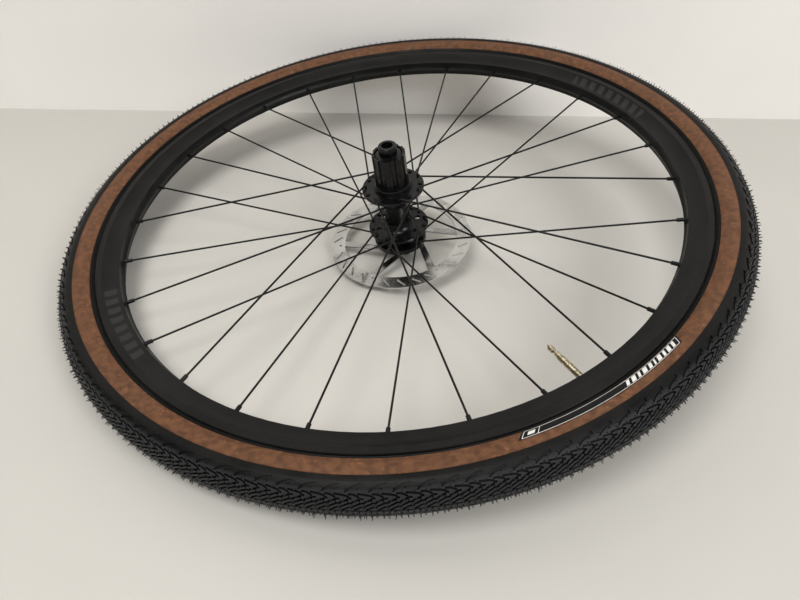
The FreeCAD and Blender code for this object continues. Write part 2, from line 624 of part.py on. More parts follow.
turned_part("freehub_seal", rectangle("stub_radius + 1.4", "base_radius + 0.6",
                                      "stub_start + 0.05", "stub_start + 1.1"))
turned_part("freehub_bearing_sleeve", rectangle(
    "freehub_bearing_radius - 0.8", "freehub_bearing_radius",
    "outer_freehub_place + freehub_bearing_width / 2",
    "inner_freehub_place - freehub_bearing_width / 2"))

# ratchet ring: each tooth has a steep face for the pawl and a long ramp
teeth = int(size("ratchet_teeth"))
ratchet = turned_part("ratchet_ring", rectangle("ratchet_tip", "ratchet_seat", "shell_drive_end + 0.2",
                                                "drive_bearing_place - hub_bearing_width / 2 - 0.05"))
RATCHET_TURN, TOOTH_FACE = 31.7, 3.5
steep = math.radians(360.0 / teeth - TOOTH_FACE)
tooth_sketch = new_sketch(ratchet, "XZ_Plane", across(RATCHET_TURN, "shell_drive_end"))
outline(tooth_sketch, [
    ("ratchet_tip - 0.5", "0"),
    ("ratchet_root", "0"),
    (f"(ratchet_tip + 0.1) * {math.cos(steep):.6f}", f"(ratchet_tip + 0.1) * {math.sin(steep):.6f}"),
    (f"(ratchet_tip - 0.5) * {math.cos(steep):.6f}", f"(ratchet_tip - 0.5) * {math.sin(steep):.6f}"),
])
tooth_gap = feature(ratchet, "Pocket", "tooth_gap", Profile=tooth_sketch, Type="ThroughAll",
                    Midplane=True)
ring_of(ratchet, [tooth_gap], teeth)

# ---------------------------------------------------------------- brake disc and its bolts
disc = turned_part("brake_disc", rectangle("track_inner_radius", "disc_radius", "disc_face",
                                           "disc_face + disc_thickness"),
                   rectangle("spigot_radius + 0.1", "disc_hub_radius", "disc_face",
                             "disc_face + disc_thickness"))


def at_angle(radius, angle):
    """Sketch coordinates, on a sketch across the hub axis, of a point given by radius and angle."""
    turn = math.radians(-angle)
    return f"({radius}) * {math.cos(turn):.6f}", f"({radius}) * {math.sin(turn):.6f}"


ARM_ROOT_ANGLE, ARM_END_ANGLE = -31.0, 4.0
arm_sketch = new_sketch(disc, "XZ_Plane", across(0.0, "disc_face"))
outline(arm_sketch, [
    at_angle("disc_hub_radius - 2", ARM_ROOT_ANGLE - 9),
    at_angle("disc_hub_radius - 2", ARM_ROOT_ANGLE + 13),
    at_angle("track_inner_radius + 2", ARM_END_ANGLE + 4.2),
    at_angle("track_inner_radius + 2", ARM_END_ANGLE - 3.4),
])
arm = feature(disc, "Pad", "arm", Profile=arm_sketch, Length=size("disc_thickness"), Reversed=True)
ring_of(disc, [arm], 6)


def slot(sketch, radius, angle, length, width, lean):
    """Round-ended slot centred at a radius and angle, leaning from the tangent."""
    centre_turn = math.radians(-angle)
    centre = Vector(math.cos(centre_turn), math.sin(centre_turn), 0) * radius
    along_turn = centre_turn + math.pi / 2 + math.radians(lean)
    along = Vector(math.cos(along_turn), math.sin(along_turn), 0)
    beside = Vector(-along.y, along.x, 0) * (width / 2)
    ends = [centre - along * ((length - width) / 2), centre + along * ((length - width) / 2)]
    for start, end, cap in ((ends[0] + beside, ends[0] - beside, ends[0] - along * (width / 2)),
                            (ends[1] - beside, ends[1] + beside, ends[1] + along * (width / 2))):
        sketch.addGeometry(Part.Arc(start, cap, end))
    sketch.addGeometry(Part.LineSegment(ends[0] - beside, ends[1] - beside))
    sketch.addGeometry(Part.LineSegment(ends[1] + beside, ends[0] + beside))


vent_sketch = new_sketch(disc, "XZ_Plane", across(0.0, "disc_face"))
for step in range(4):
    slot(vent_sketch, size("track_inner_radius") + 8.2, 10.0 + 12.6 * step, 13.0, 2.3, -46.0)
circle(vent_sketch, *at_angle("track_inner_radius + 5", 1.5), "1.6")
scallop_x, scallop_y = at_angle("disc_radius + 25.4", 54.5)
circle(vent_sketch, scallop_x, scallop_y, "27")
vents = feature(disc, "Pocket", "vents", Profile=vent_sketch, Type="ThroughAll", Midplane=True)
ring_of(disc, [vents], 6)
round_hole(disc, "bolt_radius + 0.1", "bolt_circle", BOLT_TURN, 6)

bolts = new_body("brake_disc_bolts", BOLT_TURN)
bolt_sketch = new_sketch(bolts, "XY_Plane", Placement(Vector(size("bolt_circle"), 0, 0), Rotation()))
outline(bolt_sketch, [
    ("0", "disc_face - 5.6"),
    ("bolt_radius - 0.4", "disc_face - 5.6"),
    ("bolt_radius", "disc_face - 5.2"),
    ("bolt_radius", "disc_face + disc_thickness"),
    ("bolt_head_radius", "disc_face + disc_thickness"),
    ("bolt_head_radius", "disc_face + disc_thickness + bolt_head_height - 0.7"),
    ("bolt_head_radius - 0.7", "disc_face + disc_thickness + bolt_head_height"),
    ("0", "disc_face + disc_thickness + bolt_head_height"),
])
bolt = turned_about(bolts, bolt_sketch)
recess = bolts.newObject("PartDesign::SubtractivePrism", "recess")
recess.AttachmentSupport = [(datum(bolts, "XZ_Plane"), "")]
recess.MapMode = "FlatFace"
recess.AttachmentOffset = Placement(
    Vector(size("bolt_circle"), 0, -size("disc_face + disc_thickness + bolt_head_height")), Rotation())
recess.Polygon, recess.Circumradius, recess.Height = 6, 2.2, 1.7
doc.recompute()
ring_of(bolts, [bolt, recess], 6)

# ---------------------------------------------------------------- valve
def valve_piece(label, *outlines):
    """Piece turned about the valve's own axis: corners are (radius from the hub, valve radius)."""
    body = new_body(label, valve_angle)
    sketch = new_sketch(body, "XY_Plane")
    for corners in outlines:
        outline(sketch, corners)
    turned_about(body, sketch, "H_Axis")
    return body


stem_end = "valve_tip_radius + 11.4"
tube_inside = "tube_centre_radius - tube_outside"
valve_piece("valve_base", [
    (f"{tube_inside} - 1.3", "valve_shank"), (f"{tube_inside} - 0.25", "valve_shank"),
    (f"{tube_inside} - 0.25", "5.4"), (f"{tube_inside} - 1.3", "5.9")])
valve_piece("valve_stem", [
    (stem_end, "valve_bore"),
    (f"{tube_inside} - 0.25", "valve_bore"),
    (f"{tube_inside} - 0.25", "valve_shank"),
    ("rim_inner_radius - 1.5", "valve_shank"),
    ("rim_inner_radius - 1.5", "valve_radius"),
    (f"{stem_end} + 4.6", "valve_radius"),
    (f"{stem_end} + 3.6", "valve_radius - 0.45"),
    (stem_end, "valve_radius - 0.45"),
])
valve_piece("valve_pin", [
    ("valve_tip_radius", "0"),
    (f"{stem_end} + 12", "0"),
    (f"{stem_end} + 12", "valve_bore - 0.06"),
    (f"{stem_end} + 9", "valve_bore - 0.06"),
    (f"{stem_end} + 8", "valve_pin_radius"),
    ("valve_tip_radius + 0.4", "valve_pin_radius"),
    ("valve_tip_radius", "valve_pin_radius - 0.4"),
])
valve_piece("valve_nut", [
    ("valve_tip_radius + 2.2", "valve_pin_radius + 0.05"),
    (f"{stem_end} - 2.6", "valve_pin_radius + 0.05"),
    (f"{stem_end} - 2.6", "1.7"),
    (f"{stem_end} - 4.0", "2.55"),
    ("valve_tip_radius + 3.0", "2.55"),
    ("valve_tip_radius + 2.2", "1.9"),
])

# ---------------------------------------------------------------- checks and export
doc.recompute()
subparts = [item for item in doc.Objects if item.TypeId == "PartDesign::Body"] + [tube]
for item in doc.Objects:
    if {"Invalid", "Error"} & set(item.State):
        raise RuntimeError(f"{item.Label} failed: {item.State}")
os.makedirs("parts", exist_ok=True)
for item in subparts:
    if item.Shape.isNull() or not item.Shape.isValid():
        raise RuntimeError(f"{item.Label} has no valid shape")
    item.Shape.exportStep(f"parts/{item.Label}.step")
    print(f"{item.Label:32s} solids {len(item.Shape.Solids):3d}  volume {item.Shape.Volume:10.1f} mm3")
print(len(subparts), "sub-parts")
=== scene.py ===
# %% [markdown]
# # A rear bicycle wheel with a tan-wall gravel tyre
# The wheel is a rim laced with 28 spokes to a disc-brake hub, with a 42 mm tyre on it. The hard parts
# come from the CAD model, already in place. What Blender adds is what a mould, a loom and a lathe leave
# on them: the tread's cut pattern, the hairs of rubber from the mould's vents, the cord of the casing,
# the thread on the valve, and a finish for every surface.

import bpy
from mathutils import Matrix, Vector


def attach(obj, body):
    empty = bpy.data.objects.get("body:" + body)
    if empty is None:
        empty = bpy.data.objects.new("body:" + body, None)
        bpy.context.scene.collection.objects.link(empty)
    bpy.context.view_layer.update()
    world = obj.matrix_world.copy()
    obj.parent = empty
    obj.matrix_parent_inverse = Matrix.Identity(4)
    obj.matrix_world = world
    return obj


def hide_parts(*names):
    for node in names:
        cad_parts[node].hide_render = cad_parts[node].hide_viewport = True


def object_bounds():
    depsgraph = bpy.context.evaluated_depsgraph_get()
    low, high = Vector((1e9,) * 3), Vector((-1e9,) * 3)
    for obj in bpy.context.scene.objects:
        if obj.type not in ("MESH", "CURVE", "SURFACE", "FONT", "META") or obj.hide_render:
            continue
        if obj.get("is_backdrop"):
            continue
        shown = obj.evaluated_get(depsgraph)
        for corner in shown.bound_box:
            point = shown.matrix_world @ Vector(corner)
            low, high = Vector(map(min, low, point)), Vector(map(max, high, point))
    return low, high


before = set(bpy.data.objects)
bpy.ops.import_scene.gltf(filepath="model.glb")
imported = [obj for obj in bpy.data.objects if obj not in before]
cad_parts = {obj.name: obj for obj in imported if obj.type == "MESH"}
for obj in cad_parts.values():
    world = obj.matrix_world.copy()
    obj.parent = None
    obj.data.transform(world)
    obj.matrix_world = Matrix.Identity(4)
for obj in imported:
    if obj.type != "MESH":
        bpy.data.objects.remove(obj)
cad_low, cad_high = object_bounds()
print("wheel box, mm:", [round(1000 * side) for side in cad_high - cad_low])

# %% [markdown]
# ## Places on a wheel
# A wheel is easiest to describe by three numbers: the angle around its axle, the radius, and the place
# along the axle. Here the angle starts at the rear (-X) and goes down past the ground (-Z), and the
# place counts towards the chain side. One helper turns them into X, Y and Z, and works on whole arrays.

# %% Angle, radius and place to a point
import math

import bmesh
import bpy
import numpy as np
from mathutils import Euler, Vector
from mathutils.geometry import delaunay_2d_cdt

MM = 0.001
scene = bpy.context.scene


def on_wheel(angle, radius, place):
    """Points in metres from degrees around the axle, and millimetres out from it and along it."""
    turn = np.radians(angle)
    across = [-radius * np.cos(turn), -place + 0 * turn, -radius * np.sin(turn)]
    return np.stack(np.broadcast_arrays(*across), axis=-1) * MM


print("lowest point of the tyre:", on_wheel(90.0, 356.0, 0.0))

# %% [markdown]
# ## From points to a piece
# Every shape below ends as lists of points and faces. Pieces repeated round the wheel share their edges
# with the next one, so the seams are welded, the normals are turned outwards and the corners are kept
# crisp by marking edges sharp over an angle. Each piece then rides on the body it belongs to.

# %% Make a mesh piece
def make_piece(name, points, faces, material, body="wheel", replaces=(), slot=None, crease=35.0):
    mesh = bpy.data.meshes.new(name)
    mesh.from_pydata(np.asarray(points).tolist(), [], [list(face) for face in faces])
    welded = bmesh.new()
    welded.from_mesh(mesh)
    bmesh.ops.remove_doubles(welded, verts=welded.verts, dist=0.001 * MM)
    bmesh.ops.recalc_face_normals(welded, faces=welded.faces)
    open_edges = sum(1 for edge in welded.edges if len(edge.link_faces) != 2)
    welded.to_mesh(mesh)
    welded.free()
    mesh.shade_smooth()
    mesh.set_sharp_from_angle(angle=math.radians(crease))
    mesh.materials.append(material)
    piece = bpy.data.objects.new(name, mesh)
    scene.collection.objects.link(piece)
    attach(piece, body)
    if replaces:
        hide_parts(*replaces)
    print(f"{name}: {len(mesh.vertices)} points, {len(mesh.polygons)} faces, {open_edges} open edges")
    return piece


# %% [markdown]
# ## Shader groups
# Four effects come back in many finishes, so each is a node group, built once. *Wheel position* gives
# the angle, radius, place and tyre section angle of a surface point. *Grain* is the broad mottling and
# the fine roughness of moulded rubber, paint or cast metal. *Turned rings* are the lines a lathe or
# grinder leaves. *Settled dust* is a soft mask of pale dust.

# %% Short ways to write nodes
def add(tree, kind, *values, **settings):
    """Adds a shader node. Values fill its inputs in order: a socket is linked, anything else is set."""
    made = tree.nodes.new("ShaderNode" + kind)
    for key, value in settings.items():
        setattr(made, key, value)
    for socket, value in zip(made.inputs, values):
        if isinstance(value, bpy.types.NodeSocket):
            tree.links.new(value, socket)
        elif value is not None:
            socket.default_value = value
    return made.outputs[0]


def math_node(tree, operation, *values):
    return add(tree, "Math", *values, operation=operation)


def ramp(tree, value, low, high, to_low=0.0, to_high=1.0):
    """Maps low..high to to_low..to_high, smoothly, and holds the ends."""
    made = tree.nodes.new("ShaderNodeMapRange")
    made.interpolation_type = "SMOOTHSTEP"
    tree.links.new(value, made.inputs[0])
    for index, number in enumerate((low, high, to_low, to_high), start=1):
        made.inputs[index].default_value = number
    return made.outputs[0]


def mix_colours(tree, factor, first, second):
    made = tree.nodes.new("ShaderNodeMix")
    made.data_type = "RGBA"
    tree.links.new(factor, made.inputs[0])
    for socket, value in ((made.inputs[6], first), (made.inputs[7], second)):
        if isinstance(value, bpy.types.NodeSocket):
            tree.links.new(value, socket)
        else:
            socket.default_value = (*value, 1.0)
    return made.outputs[2]


def new_group(name, inputs, outputs):
    group = bpy.data.node_groups.new(name, "ShaderNodeTree")
    for label, value in inputs.items():
        socket = group.interface.new_socket(label, in_out="INPUT", socket_type="NodeSocketFloat")
        socket.default_value = value
    for label in outputs:
        group.interface.new_socket(label, in_out="OUTPUT", socket_type="NodeSocketFloat")
    return group, group.nodes.new("NodeGroupInput").outputs, group.nodes.new("NodeGroupOutput").inputs


def use_group(tree, group, **values):
    made = tree.nodes.new("ShaderNodeGroup")
    made.node_tree = group
    for label, value in values.items():
        made.inputs[label.replace("_", " ")].default_value = value
    return made.outputs


# %% Wheel position
SECTION_CENTRE = 333.5
CASING = 19.6

WHEEL_POSITION, _, result = new_group("Wheel position", {}, ("Angle", "Radius", "Place", "Section"))
tree = WHEEL_POSITION
coordinates = tree.nodes.new("ShaderNodeTexCoord").outputs["Object"]
split = tree.nodes.new("ShaderNodeSeparateXYZ")
tree.links.new(coordinates, split.inputs[0])
x_mm, y_mm, z_mm = (math_node(tree, "MULTIPLY", split.outputs[axis], -1000.0) for axis in range(3))
turn = math_node(tree, "ARCTAN2", z_mm, x_mm)
degrees = math_node(tree, "FLOORED_MODULO", math_node(tree, "DEGREES", turn), 360.0)
squares = [math_node(tree, "MULTIPLY", value, value) for value in (x_mm, z_mm)]
radius = math_node(tree, "SQRT", math_node(tree, "ADD", *squares))
section = math_node(tree, "DEGREES", math_node(
    tree, "ARCTAN2", y_mm, math_node(tree, "SUBTRACT", radius, SECTION_CENTRE)))
for label, value in zip(("Angle", "Radius", "Place", "Section"), (degrees, radius, y_mm, section)):
    tree.links.new(value, result[label])
print("group:", tree.name)

# %% Grain
GRAIN, given, result = new_group("Grain", {"Mottle size": 20.0, "Grain size": 0.3}, ("Mottle", "Height"))
tree = GRAIN
coordinates = tree.nodes.new("ShaderNodeTexCoord").outputs["Object"]
for label, size_input, detail in (("Mottle", "Mottle size", 4.0), ("Height", "Grain size", 2.0)):
    scale = math_node(tree, "DIVIDE", 1000.0, given[size_input])
    noise = add(tree, "TexNoise", coordinates, None, scale, detail)
    tree.links.new(ramp(tree, noise, 0.3, 0.7), result[label])
print("group:", tree.name)

# %% Turned rings
TURNED_RINGS, given, result = new_group("Turned rings", {"Pitch": 0.5}, ("Height",))
tree = TURNED_RINGS
position = use_group(tree, WHEEL_POSITION)
along_profile = math_node(tree, "ADD", position["Radius"], position["Place"])
uneven = add(tree, "TexNoise", None, along_profile, math_node(tree, "DIVIDE", 1.0, given["Pitch"]),
             3.0, noise_dimensions="1D")
tree.links.new(uneven, result["Height"])
print("group:", tree.name)

# %% Settled dust
DUST, given, result = new_group("Settled dust", {"Patch size": 60.0, "Amount": 0.5}, ("Mask",))
tree = DUST
coordinates = tree.nodes.new("ShaderNodeTexCoord").outputs["Object"]
patch_scale = math_node(tree, "DIVIDE", 1000.0, given["Patch size"])
patches = add(tree, "TexNoise", coordinates, None, patch_scale, 6.0)
specks = add(tree, "TexNoise", coordinates, None, 1400.0, 1.0)
cover = math_node(tree, "MULTIPLY", ramp(tree, patches, 0.42, 0.68), ramp(tree, specks, 0.35, 0.7))
tree.links.new(math_node(tree, "MULTIPLY", cover, given["Amount"]), result["Mask"])
print("group:", tree.name)

# %% [markdown]
# ## Finishes
# One function makes most finishes, because most differ only in numbers: two close colours that the grain
# mixes, a range of roughness, the depth of the grain, and for turned metal the depth of its rings. It
# returns the material with its tree and shader, so that a special one can add to it.

# %% A finish with grain, rings and dust
DUST_COLOUR = (0.30, 0.27, 0.23)


def finish(name, dark, light, rough=(0.4, 0.6), mottle=20.0, grain=0.3, relief=0.02, rings=None,
           dust=None, **shader_values):
    made = bpy.data.materials.new(name)
    made.use_nodes = True
    tree = made.node_tree
    shader = tree.nodes["Principled BSDF"]
    for label, value in shader_values.items():
        shader.inputs[label.replace("_", " ")].default_value = value
    texture = use_group(tree, GRAIN, Mottle_size=mottle, Grain_size=grain)
    colour = mix_colours(tree, texture["Mottle"], dark, light)
    roughness = ramp(tree, texture["Mottle"], 0.0, 1.0, *rough)
    height = texture["Height"]
    if rings:
        pitch, share = rings
        lathe_lines = use_group(tree, TURNED_RINGS, Pitch=pitch)["Height"]
        height = math_node(tree, "ADD", height, math_node(tree, "MULTIPLY", lathe_lines, share))
    if dust:
        mask = use_group(tree, DUST, Amount=dust)["Mask"]
        colour = mix_colours(tree, mask, colour, DUST_COLOUR)
    bump = tree.nodes.new("ShaderNodeBump")
    bump.inputs["Strength"].default_value = 1.0
    bump.inputs["Distance"].default_value = relief * MM
    tree.links.new(height, bump.inputs["Height"])
    tree.links.new(colour, shader.inputs["Base Color"])
    tree.links.new(roughness, shader.inputs["Roughness"])
    tree.links.new(bump.outputs[0], shader.inputs["Normal"])
    return made


def source_of(material, label):
    """The socket that feeds one input of the material's shader, or of its bump node."""
    tree = material.node_tree
    shader = tree.nodes["Principled BSDF"] if label != "Height" else tree.nodes["Bump"]
    return shader.inputs[label], shader.inputs[label].links[0].from_socket


TREAD_RUBBER = finish("tread rubber", (0.002, 0.002, 0.002), (0.0045, 0.0045, 0.0045), (0.34, 0.46),
                      mottle=30.0, grain=0.25, relief=0.03, dust=0.02, Specular_IOR_Level=0.13)
STRIP_RUBBER = finish("bead strip rubber", (0.002, 0.002, 0.002), (0.004, 0.004, 0.004), (0.34, 0.46),
                      grain=0.2, relief=0.02, dust=0.02, Specular_IOR_Level=0.12)
TUBE_RUBBER = finish("inner tube rubber", (0.02, 0.02, 0.02), (0.03, 0.03, 0.03), (0.5, 0.65), dust=0.6)
BLACK_SPOKE = finish("black stainless wire", (0.002, 0.002, 0.002), (0.005, 0.005, 0.0052), (0.28, 0.4),
                     mottle=8.0, grain=0.1, relief=0.004, Specular_IOR_Level=0.2)
BLACK_ANODISE = finish("black anodised alloy", (0.0025, 0.0025, 0.0026), (0.005, 0.005, 0.0055), (0.18, 0.28),
                       mottle=12.0, grain=0.08, relief=0.005, rings=(0.35, 0.6), Specular_IOR_Level=0.26)
BRIGHT_ALLOY = finish("turned bright alloy", (0.55, 0.55, 0.56), (0.68, 0.68, 0.69), (0.22, 0.36),
                      mottle=15.0, grain=0.1, relief=0.01, rings=(0.3, 0.8), Metallic=1.0)
BEARING_STEEL = finish("polished bearing steel", (0.5, 0.5, 0.51), (0.62, 0.62, 0.63), (0.08, 0.16),
                       mottle=6.0, grain=0.05, relief=0.002, Metallic=1.0)
BEARING_SEAL = finish("bearing seal", (0.012, 0.012, 0.013), (0.02, 0.02, 0.021), (0.4, 0.5),
                      rings=(0.8, 0.7), relief=0.02)
RIM_TAPE = finish("woven rim tape", (0.10, 0.13, 0.2), (0.14, 0.17, 0.25), (0.45, 0.6),
                  grain=0.5, relief=0.05)
PLATED_BRASS = finish("nickel-washed brass", (0.30, 0.24, 0.13), (0.62, 0.56, 0.42), (0.16, 0.28),
                      mottle=3.0, grain=0.1, relief=0.006, Metallic=1.0)
WHITE_INK = finish("white printing ink", (0.70, 0.69, 0.66), (0.80, 0.79, 0.76), (0.45, 0.6), grain=0.1,
                   relief=0.01, dust=0.2)
LABEL_FILM = finish("black label film", (0.003, 0.003, 0.003), (0.006, 0.006, 0.006), (0.3, 0.42),
                    grain=0.12, relief=0.006, Specular_IOR_Level=0.12)
print("finishes so far:", len(bpy.data.materials))

# %% [markdown]
# ## Tan sidewall
# The tan band is bare casing: crossed layers of thin cords under a skin of brown rubber. The cords show
# as a fine diamond weave, and the brown is uneven, darker in blotches and paler where the skin is thin.
# The weave is two sets of waves that cross at 45 degrees, made from the distance around and across.

# %% Tan casing
TAN_CASING = finish("tan casing", (0.050, 0.0195, 0.0085), (0.150, 0.065, 0.029), (0.42, 0.58), mottle=6.0,
                    grain=0.35, relief=0.09, dust=0.04, Specular_IOR_Level=0.2)
CORD_PITCH = 1.1
SIDEWALL_RADIUS = 330.0
STRIP_EDGE = 129.3          # section angle where black rubber begins
tree = TAN_CASING.node_tree
position = use_group(tree, WHEEL_POSITION)
around = math_node(tree, "MULTIPLY", position["Angle"], math.radians(1.0) * SIDEWALL_RADIUS)
across = math_node(tree, "MULTIPLY", position["Section"], math.radians(1.0) * CASING)
cords = []
for direction in ("ADD", "SUBTRACT"):
    phase = math_node(tree, "MULTIPLY", math_node(tree, direction, around, across), 2 * math.pi / CORD_PITCH)
    cords.append(math_node(tree, "SINE", phase))
weave = ramp(tree, math_node(tree, "MAXIMUM", *cords), -0.4, 1.0)
socket, plain = source_of(TAN_CASING, "Height")
tree.links.new(math_node(tree, "ADD", plain, weave), socket)
socket, plain = source_of(TAN_CASING, "Base Color")
cord_shade = mix_colours(tree, ramp(tree, weave, 0.0, 1.0, 0.0, 0.4), plain, (0.18, 0.080, 0.037))
tree.links.new(cord_shade, socket)

# orange flecks where the skin is thinnest, and black rubber under the bead strips
socket, plain = source_of(TAN_CASING, "Base Color")
coordinates = tree.nodes.new("ShaderNodeTexCoord").outputs["Object"]
flecks = ramp(tree, add(tree, "TexNoise", coordinates, None, 260.0, 3.0), 0.60, 0.72, 0.0, 0.55)
flecked = mix_colours(tree, flecks, plain, (0.30, 0.115, 0.048))
under_strip = math_node(tree, "GREATER_THAN", math_node(tree, "ABSOLUTE", position["Section"]), STRIP_EDGE)
tree.links.new(mix_colours(tree, under_strip, flecked, (0.008, 0.008, 0.008)), socket)
print("cords per metre:", round(1000 / CORD_PITCH))

# %% [markdown]
# ## Rim paint
# The rim is painted matt black, with two groups of slanted grey bars printed on it as plain decoration.
# They could be thin pieces, but ink on a rim has no thickness to see, so a mask in the paint does it:
# the bars are where the angle and radius fall in stripes.

# %% Matt rim with grey bars
RIM_PAINT = finish("matt rim paint", (0.004, 0.004, 0.0038), (0.0065, 0.0065, 0.0062), (0.32, 0.42),
                   mottle=40.0, grain=0.12, relief=0.008, dust=0.02, Specular_IOR_Level=0.14)
tree = RIM_PAINT.node_tree
position = use_group(tree, WHEEL_POSITION)
BAR_LEAN, BAR_SPACING = 0.07, 2.6               # degrees per mm, degrees
BAR_RADIUS, BAR_HALF_HEIGHT = 303.5, 5.5
GROUP_MIDDLES, GROUP_HALF_WIDTH = (25.6, 206.5), 10.6

lean = math_node(tree, "MULTIPLY", position["Radius"], BAR_LEAN)
leaning = math_node(tree, "SUBTRACT", position["Angle"], lean)
bars = ramp(tree, math_node(tree, "FRACT", math_node(tree, "DIVIDE", leaning, BAR_SPACING)), 0.40, 0.44)
band = math_node(tree, "COMPARE", position["Radius"], BAR_RADIUS, BAR_HALF_HEIGHT)
stretches = [math_node(tree, "COMPARE", position["Angle"], middle, GROUP_HALF_WIDTH)
             for middle in GROUP_MIDDLES]
ink = math_node(tree, "MULTIPLY", math_node(tree, "MULTIPLY", bars, band), math_node(tree, "ADD", *stretches))
socket, plain = source_of(RIM_PAINT, "Base Color")
tree.links.new(mix_colours(tree, ink, plain, (0.022, 0.022, 0.0215)), socket)
print("rim paint ready")

# %% [markdown]
# ## Ground disc steel
# The brake disc is stainless sheet. Its track is ground, with fine lines that run round it, and pads
# have given it a faint second shade. Its arms are only punched and tumbled, a little darker.

# %% Brake disc
DISC_STEEL = finish("ground disc steel", (0.52, 0.52, 0.505), (0.62, 0.62, 0.61), (0.16, 0.24), mottle=30.0,
                    grain=0.12, relief=0.004, rings=(0.25, 1.2), Metallic=1.0)
tree = DISC_STEEL.node_tree
position = use_group(tree, WHEEL_POSITION)
TRACK_INNER_EDGE = 64.0
on_arms = ramp(tree, position["Radius"], TRACK_INNER_EDGE + 0.5, TRACK_INNER_EDGE - 1.0)
socket, plain = source_of(DISC_STEEL, "Base Color")
tree.links.new(mix_colours(tree, on_arms, plain, (0.42, 0.42, 0.41)), socket)
print("disc steel ready")

# %% [markdown]
# ## Tread
# A tread like this is cut in the mould: one 17.5 mm module of grooves repeats 128 times round the tyre.
# A bump map would leave the outline smooth, so the grooves are real. The module is laid out flat, as a
# mould maker would draw it: each groove is a ribbon along a line of (distance around in mm, section
# angle in degrees). A triangulation then splits the flat sheet into lug tops and groove floors, walls
# join the two, and the module is bent onto the tyre's section and repeated.

# %% Tread sizes
MODULES = 128
CROWN = 356.0
MODULE = 2 * math.pi * CROWN / MODULES
HALF_MODULE = MODULE / 2
TREAD_CENTRE, TREAD_CURVE = 334.95, 21.05
SHOULDER, LIP = 74.0, 81.0
PER_DEGREE = math.radians(1.0) * TREAD_CURVE
print("one module, mm:", round(MODULE, 3))

# %% Painted sheen on the lug tops, with painted shade left in the groove floors
PAINTED_SHEEN_EDGE, PAINTED_SHEEN_FULL = 58.0, 44.0             # section angles
tree = TREAD_RUBBER.node_tree
position = use_group(tree, WHEEL_POSITION)
outward = math_node(tree, "SUBTRACT", position["Radius"], TREAD_CENTRE)
squares = [math_node(tree, "MULTIPLY", value, value) for value in (outward, position["Place"])]
height = math_node(tree, "SQRT", math_node(tree, "ADD", *squares))
painted_sheen_tops = ramp(tree, height, TREAD_CURVE - 0.9, TREAD_CURVE - 0.1)
painted_sheen_lugs = ramp(tree, math_node(tree, "ABSOLUTE", position["Section"]), PAINTED_SHEEN_EDGE, PAINTED_SHEEN_FULL)
socket, plain = source_of(TREAD_RUBBER, "Base Color")
# painted sheen: the lug tops are mixed to a lighter grey, and the groove floors keep the dark rubber as
# painted shade
painted_sheen = math_node(tree, "MULTIPLY", painted_sheen_tops, painted_sheen_lugs)
tree.links.new(mix_colours(tree, painted_sheen, plain, (0.026, 0.027, 0.0275)), socket)
print("bloom reaches the section angle", PAINTED_SHEEN_EDGE)

# %% Grooves of the drive half
GROOVES = [  # (depth, width at the start and the end, repeats in a module, line)
    (1.2, 1.3, 2.6, 1, [(2.6, 50.5), (4.3, 54), (6.5, 58), (11, 62.3), (16.3, 64)]),
    (1.8, 1.6, 1.6, 1, [(5.0, 47), (8.5, 46.5), (10.5, 44.5), (12.5, 41.5), (13.4, 39.5)]),
    (1.9, 1.7, 1.7, 1, [(11.8, 47.5), (15.5, 46.5), (20, 44.5), (22, 43), (23, 40.5), (25, 37.6)]),
    (1.9, 1.7, 1.6, 1, [(23, 37.5), (21, 34.8), (18, 31.8), (16.4, 30.2)]),
    (1.9, 1.6, 1.6, 1, [(16.5, 37.7), (14.3, 37.7), (12.8, 36.3), (11, 34), (8.8, 31.5), (7.4, 30.2)]),
    (1.9, 1.7, 1.6, 2, [(8.4, 28), (5, 28), (4, 26.5), (2.5, 24.5), (0.5, 22), (-0.6, 20.8)]),
    (1.9, 1.7, 1.6, 2, [(8.4, 18.5), (5, 18.5), (3.8, 16.5), (2, 14), (0.5, 12), (-0.4, 11.0)]),
    (0.7, 0.9, 0.9, 2, [(4.5, 34.5), (4.5, 29)]),
    (1.9, 1.6, 1.6, 2, [(-0.4, 9.4), (HALF_MODULE + 0.4, 6.1)]),
    (1.5, 1.1, 0.8, 2, [(3.2, 6), (3.2, -1.5)]),
]


def ribbon(line, start_width, end_width):
    """Outline of a strip along a line of flat points, counter-clockwise."""
    line = np.array(line, float)
    run = np.diff(line, axis=0)
    run /= np.linalg.norm(run, axis=1)[:, None]
    heading = np.vstack([run[:1], run[:-1] + run[1:], run[-1:]])
    heading /= np.linalg.norm(heading, axis=1)[:, None]
    half_width = np.linspace(start_width, end_width, len(line))[:, None] / 2
    beside = np.stack([heading[:, 1], -heading[:, 0]], axis=1) * half_width
    outline = np.vstack([line + beside, (line - beside)[::-1]])
    area = np.cross(outline, np.roll(outline, -1, axis=0)).sum()
    return outline if area > 0 else outline[::-1]


NEAR = 2.0                  # grooves this close to the module's ends are kept, mm


def groove_outlines():
    """(depth, outline) of every groove near one module, on both halves of the tread."""
    for side, shift in ((1, 0.0), (-1, HALF_MODULE / 2)):
        for depth, start_width, end_width, repeats, line in GROOVES:
            for repeat in range(-2 * repeats, 2 * repeats):
                start = shift + repeat * MODULE / repeats
                flat = [(x + start, side * angle * PER_DEGREE) for x, angle in line]
                outline = ribbon(flat, start_width, end_width)
                if outline[:, 0].max() > -NEAR and outline[:, 0].min() < MODULE + NEAR:
                    yield depth, outline


print("grooves near one module:", sum(1 for _ in groove_outlines()))

